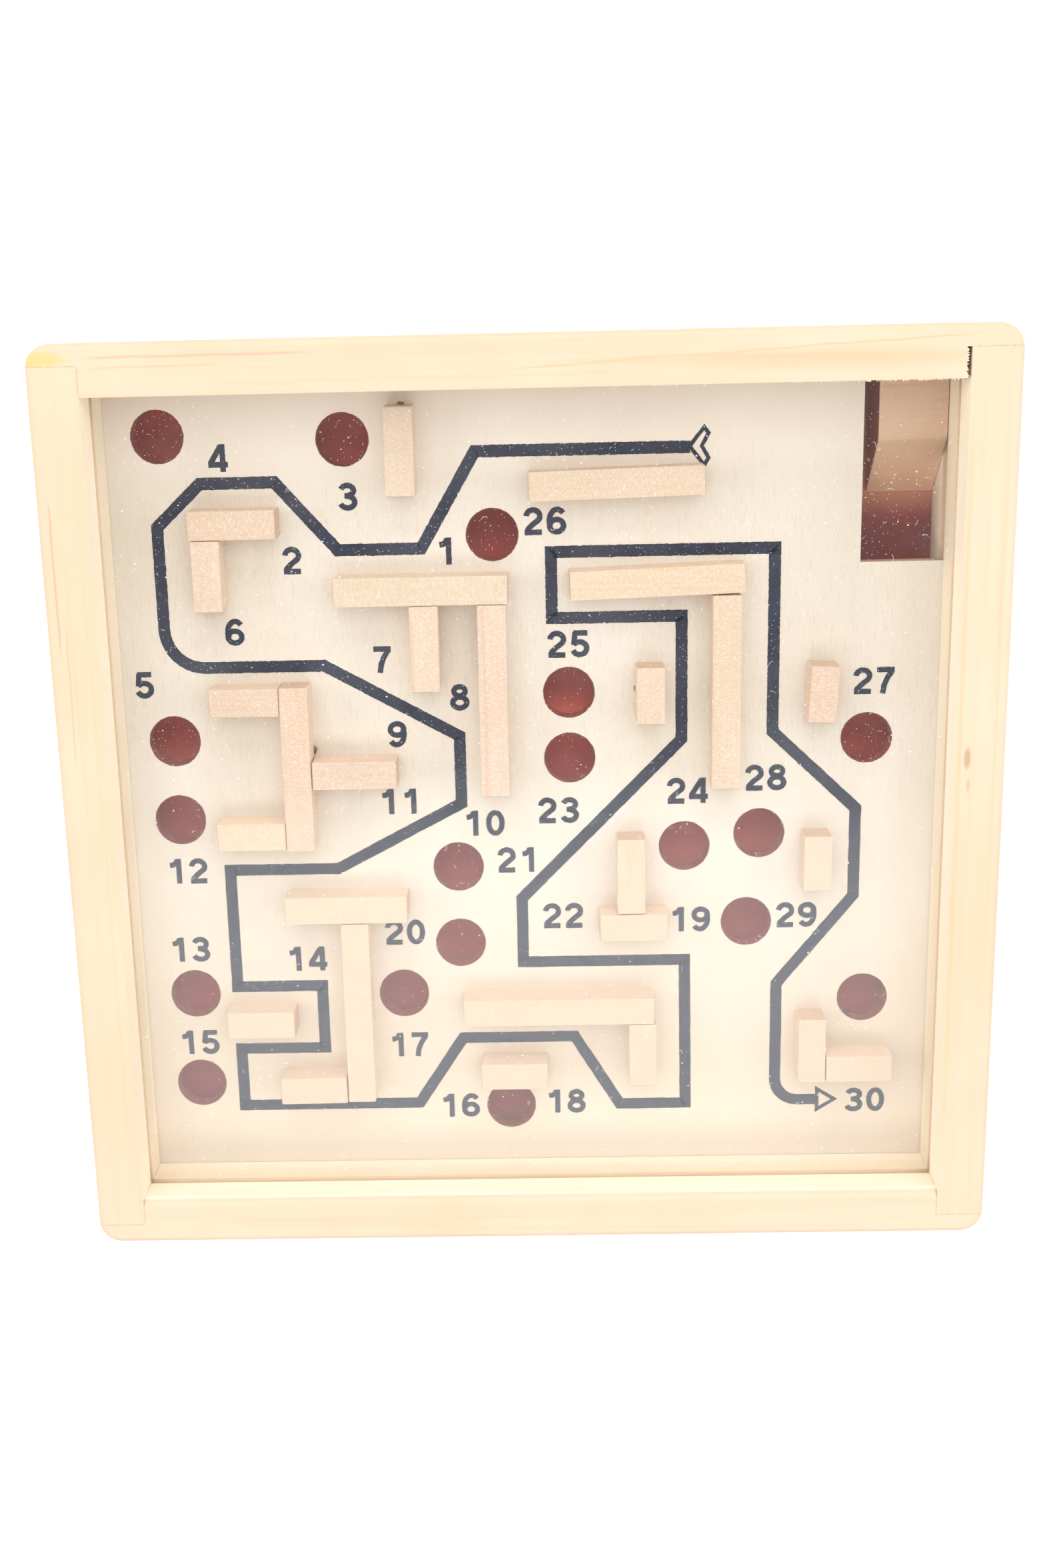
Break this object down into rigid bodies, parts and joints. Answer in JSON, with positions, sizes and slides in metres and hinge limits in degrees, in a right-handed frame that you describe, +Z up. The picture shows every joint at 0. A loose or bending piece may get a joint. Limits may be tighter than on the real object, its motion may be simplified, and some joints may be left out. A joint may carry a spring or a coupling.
{
  "type": "tilt maze game",
  "caption": "Wooden tilt maze: glued frame, clear lid, board with drop holes and wall strips, return ramp, and a steel ball that rolls inside.",
  "frame": {"origin": "centre of the face that the game rests on, at the underside of the frame", "axes": "+Z up out of the clear lid, +Y towards the rail at the top of the printed maze, +X to the reader's right"},
  "size_m": [0.15, 0.1484, 0.03],
  "materials": {
    "pine": "sanded, unvarnished",
    "plywood": "sanded birch plywood",
    "strip_wood": "sawn",
    "ramp_wood": "sawn",
    "hardboard": "smooth hardboard",
    "clear_plastic": "clear, gloss",
    "ink": "screen-printed blue-black ink",
    "steel": "polished"
  },
  "bodies": {
    "frame": {"rail_top": "pine", "rail_bottom": "pine", "stile_left": "pine", "stile_right": "pine", "base_panel": "hardboard", "clear_lid": "clear_plastic", "maze_board": "plywood", "return_ramp": "ramp_wood", "wall_01": "strip_wood", "wall_02": "strip_wood", "wall_03": "strip_wood", "wall_04": "strip_wood", "wall_05": "strip_wood", "wall_06": "strip_wood", "wall_07": "strip_wood", "wall_08": "strip_wood", "wall_09": "strip_wood", "wall_10": "strip_wood", "wall_11": "strip_wood", "wall_12": "strip_wood", "wall_13": "strip_wood", "wall_14": "strip_wood", "wall_15": "strip_wood", "wall_16": "strip_wood", "wall_17": "strip_wood", "wall_18": "strip_wood", "wall_19": "strip_wood", "wall_20": "strip_wood", "wall_21": "strip_wood", "wall_22": "strip_wood", "wall_23": "strip_wood", "wall_24": "strip_wood", "wall_25": "strip_wood", "wall_26": "strip_wood", "wall_27": "strip_wood"},
    "ball": {"steel_ball": "steel"}
  },
  "joints": [
    {"name": "ball_roll", "type": "slide", "parent": "frame", "child": "ball", "axis": [0, 1, 0], "range_m": [0, 0.1086]}
  ]
}
